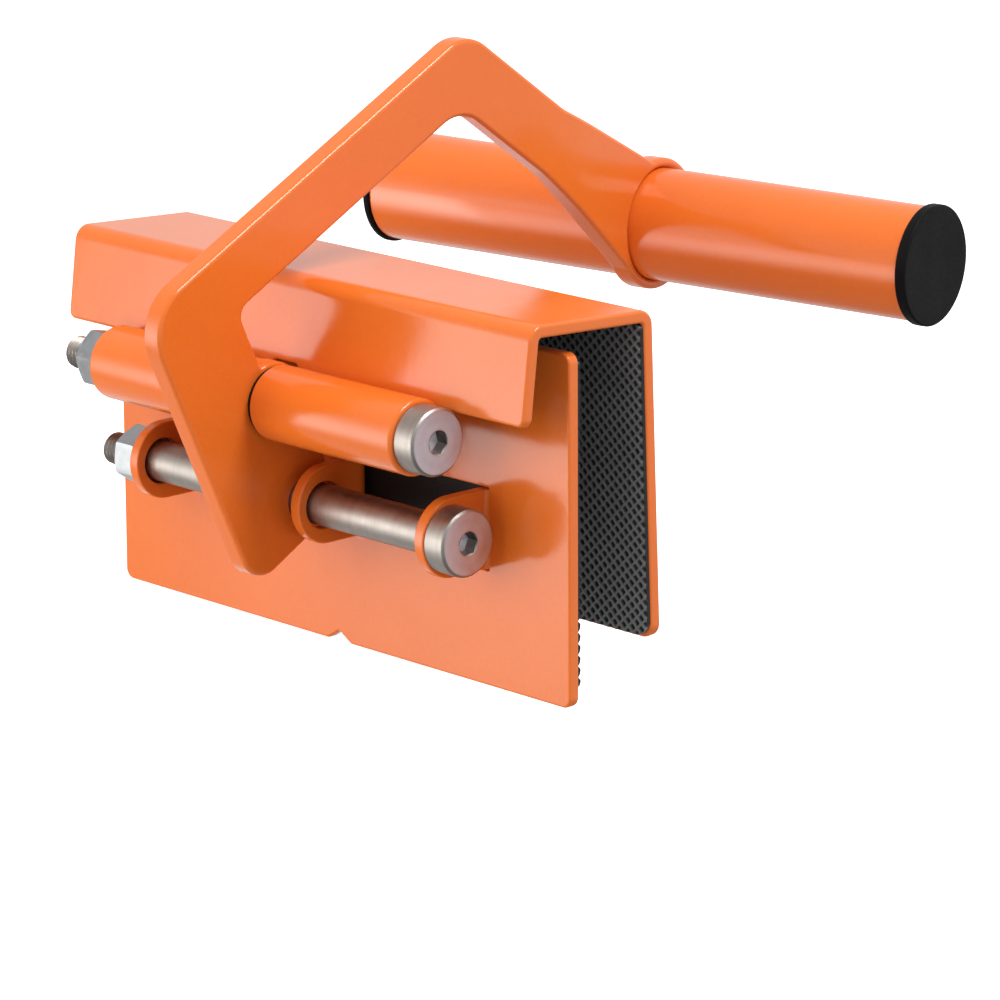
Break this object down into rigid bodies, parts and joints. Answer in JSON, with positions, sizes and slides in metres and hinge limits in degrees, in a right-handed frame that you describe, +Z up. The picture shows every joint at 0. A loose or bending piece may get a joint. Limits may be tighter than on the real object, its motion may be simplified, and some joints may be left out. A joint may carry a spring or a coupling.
{
  "type": "panel carrier",
  "caption": "Panel carrier: rubber-lined steel hook over a board's edge, with a lever and tube handle that press a hinged, padded clamp plate against the board when lifted.",
  "frame": {"origin": "middle of the panel seat, on the lower face of the rubber under the web of the hook", "axes": "+X along the hinge bolts towards their heads, +Y from the clamp plate towards the back leg and the handle, +Z up"},
  "size_m": [0.169, 0.1998, 0.1426],
  "materials": {
    "coat": "gloss orange powder coat",
    "facing": "matt black, diamond knurl",
    "bolt_steel": "satin turned stainless",
    "nut_zinc": "zinc plated",
    "black_plastic": "matt"
  },
  "bodies": {
    "hook": {"hook_bracket": "coat", "leg_liner": "facing", "web_liner": "facing", "lip_liner": "facing", "left_knuckle": "coat", "right_knuckle": "coat", "left_knuckle_weld": "coat", "right_knuckle_weld": "coat", "upper_bolt": "bolt_steel", "upper_nut": "nut_zinc", "left_lever_washer": "black_plastic", "right_lever_washer": "black_plastic"},
    "arm": {"lever_arm": "coat", "handle_tube": "coat", "handle_weld": "coat", "left_end_cap": "black_plastic", "right_end_cap": "black_plastic"},
    "jaw": {"clamp_plate": "coat", "jaw_pad": "facing", "lower_bolt": "bolt_steel", "lower_nut": "nut_zinc"}
  },
  "joints": [
    {"name": "lever_pivot", "type": "hinge", "parent": "hook", "child": "arm", "pos_m": [0, -0.034, -0.025], "axis": [1, 0, 0], "range_deg": [-12, 8]},
    {"name": "jaw_pivot", "type": "hinge", "parent": "arm", "child": "jaw", "pos_m": [0, -0.0237, -0.0498], "axis": [1, 0, 0], "range_deg": [-20, 2]}
  ]
}
